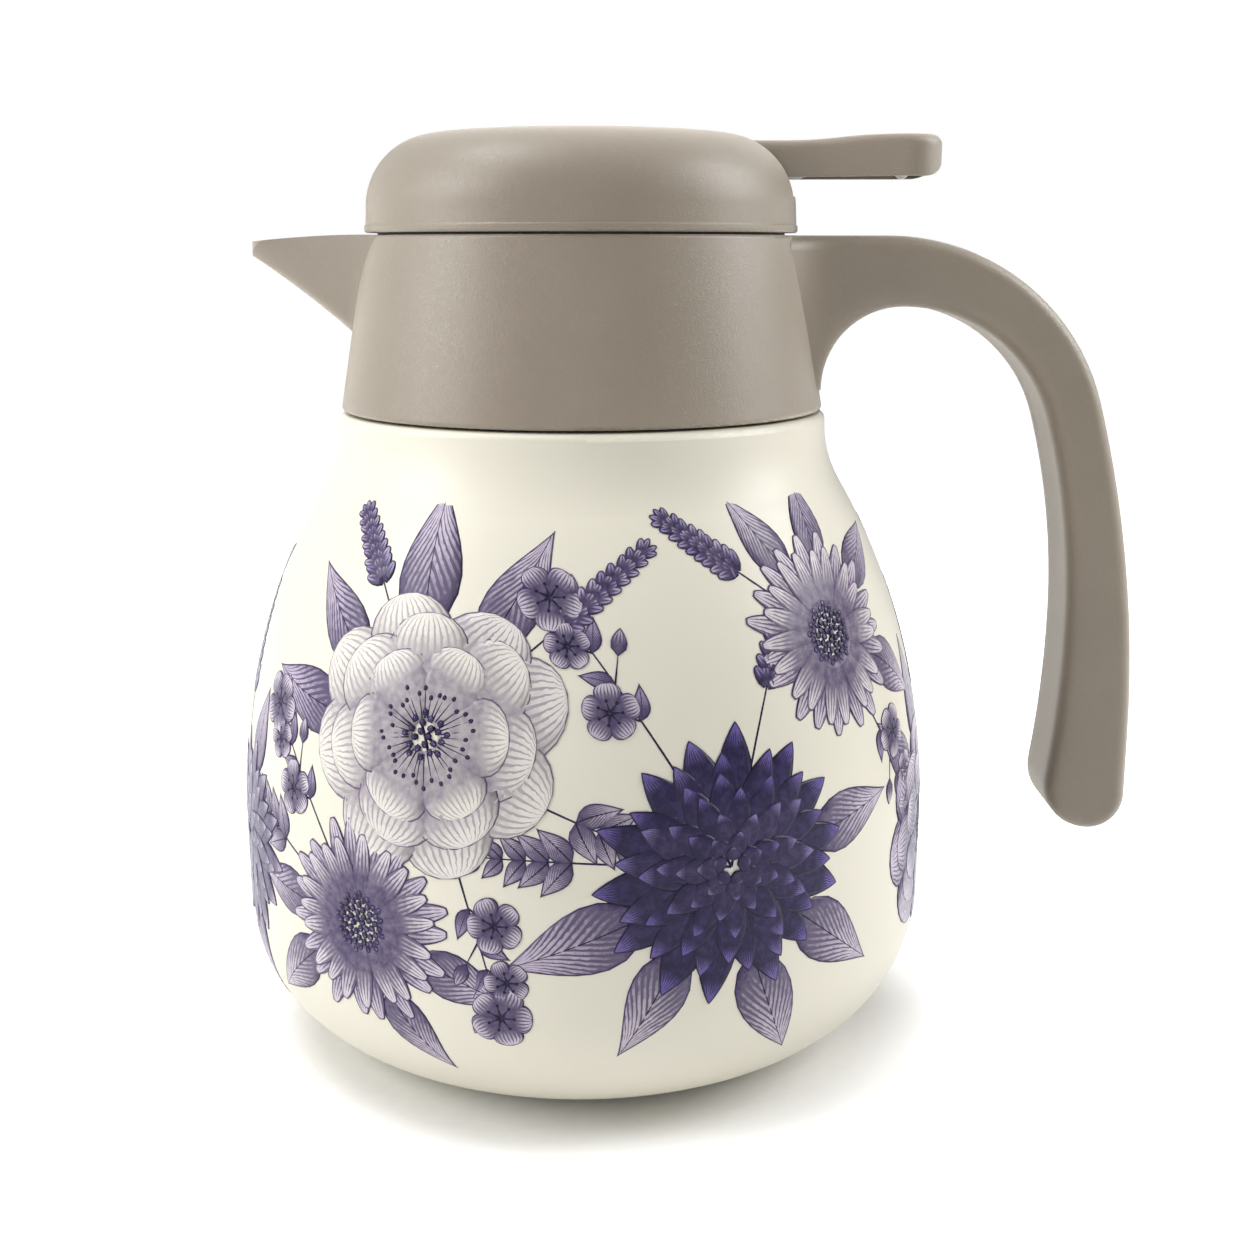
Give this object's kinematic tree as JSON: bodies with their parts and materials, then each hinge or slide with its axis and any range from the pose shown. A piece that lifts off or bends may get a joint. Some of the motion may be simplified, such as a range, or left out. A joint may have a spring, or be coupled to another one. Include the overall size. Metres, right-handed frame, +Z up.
{
  "type": "vacuum serving jug",
  "caption": "Double-wall steel serving jug with a moulded collar, spout and open-ended handle, and a screw-in lid whose thumb lever lifts a sprung pouring valve.",
  "frame": {"origin": "on the jug's axis, at the underside of the base pad, where it stands on the table", "axes": "+Z up along the jug's axis, +X towards the handle and the lever, -X towards the spout"},
  "size_m": [0.1824, 0.14, 0.1823],
  "materials": {
    "body_paint": "satin ivory paint",
    "grained_plastic": "satin taupe moulding with a fine leather grain",
    "inner_plastic": "plain dark moulding",
    "steel": "drawn and brushed",
    "solder": "dull bead",
    "silicone": "milky silicone",
    "foot_rubber": "matt"
  },
  "bodies": {
    "jug": {"outer_shell": "body_paint", "inner_flask": "steel", "bottom_plate": "steel", "vacuum_seal": "solder", "getter": "steel", "base_pad": "foot_rubber", "neck_sleeve": "inner_plastic", "neck_gasket": "silicone", "collar": "grained_plastic", "handle_cover": "grained_plastic"},
    "lid_seal": {"stopper_gasket": "silicone"},
    "lid": {"lid_cover": "grained_plastic", "lid_screws": "steel", "stopper_body": "inner_plastic", "lever_pin": "steel", "stem_seal": "silicone", "valve_spring": "steel"},
    "lever": {"lever": "grained_plastic", "lever_bumper": "silicone"},
    "valve": {"valve_stem": "inner_plastic", "valve_seal": "silicone", "valve_plug": "inner_plastic", "stem_clip": "steel", "lift_pin": "steel"}
  },
  "joints": [
    {"name": "lid_lift", "type": "slide", "parent": "jug", "child": "lid_seal", "axis": [0, 0, 1], "range_m": [0, 0.048]},
    {"name": "lid_turn", "type": "hinge", "parent": "lid_seal", "child": "lid", "pos_m": [0, 0, 0.16], "axis": [0, 0, 1], "range_deg": [0, 720]},
    {"name": "lever_press", "type": "hinge", "parent": "lid", "child": "lever", "pos_m": [0.028, 0, 0.17], "axis": [0, 1, 0], "range_deg": [0, 11], "stiffness_Nm_per_rad": 0.06, "springref_deg": -20.05},
    {"name": "valve_lift", "type": "slide", "parent": "lid", "child": "valve", "axis": [0, 0, 1], "range_m": [0, 0.00545], "deforming": ["valve_spring"]}
  ],
  "couplings": [
    {"joint": "lid_lift", "follows": "lid_turn", "m_per_rad": 0.0038197},
    {"joint": "valve_lift", "follows": "lever_press", "m_per_rad": 0.028349}
  ]
}
